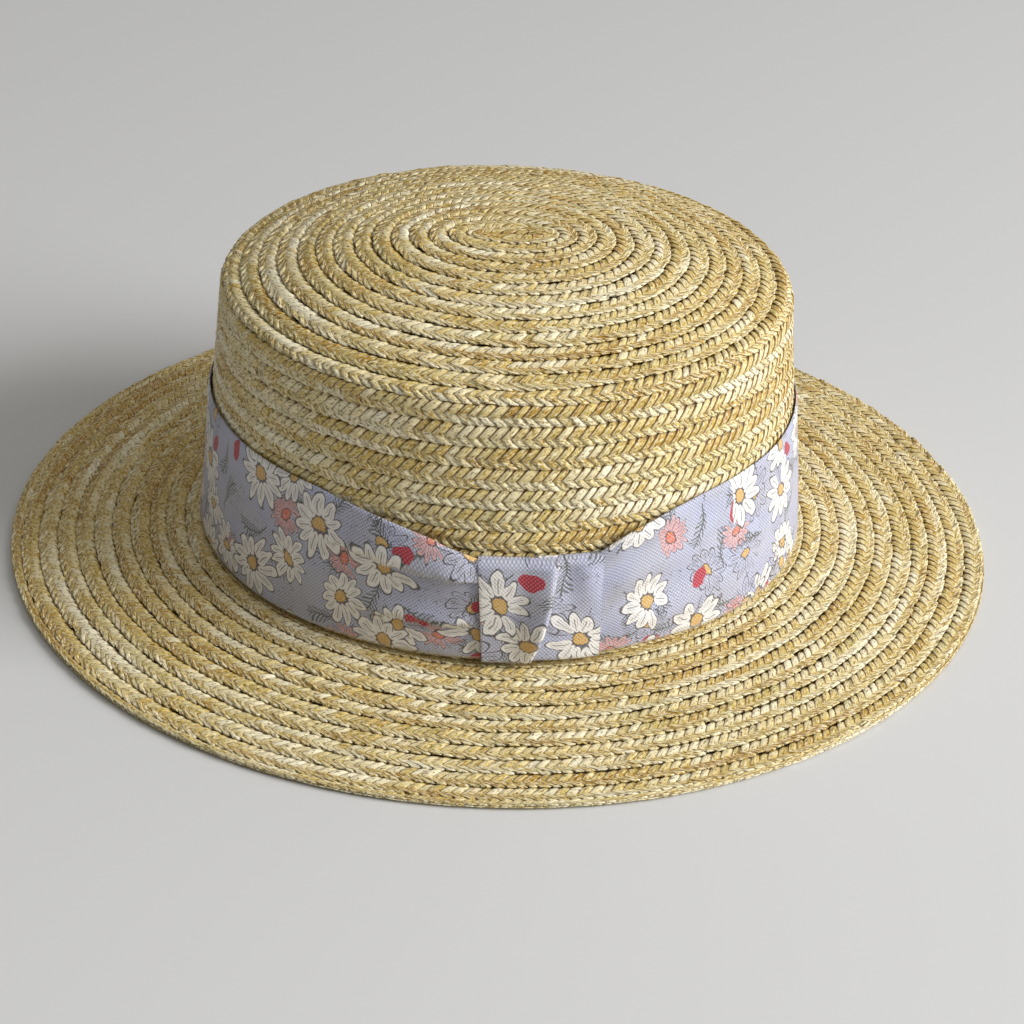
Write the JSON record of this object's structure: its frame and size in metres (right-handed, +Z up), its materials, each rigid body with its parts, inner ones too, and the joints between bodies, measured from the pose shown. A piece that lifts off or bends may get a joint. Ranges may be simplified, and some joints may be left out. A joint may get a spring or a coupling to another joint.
{
  "type": "flat-top straw hat",
  "caption": "Sewn straw boater with an oval head, a gently domed flat top, a level brim and a printed cloth band folded into a flat knot.",
  "frame": {"origin": "middle of the brim's oval, on the surface that the hat rests on", "axes": "+Z up out of the top, +X along the long axis of the oval head (the wearer's front and back), -Y towards the side that carries the knot"},
  "size_m": [0.3152, 0.3, 0.107],
  "materials": {
    "straw": "natural wheat straw plait, sewn in overlapping rows, matt with glossy splints",
    "ribbon_cloth": "pale lavender-blue woven cloth with a small daisy print, matt"
  },
  "bodies": {
    "root": {"crown": "straw", "brim": "straw", "ribbon_band": "ribbon_cloth", "ribbon_knot": "ribbon_cloth"}
  },
  "joints": []
}
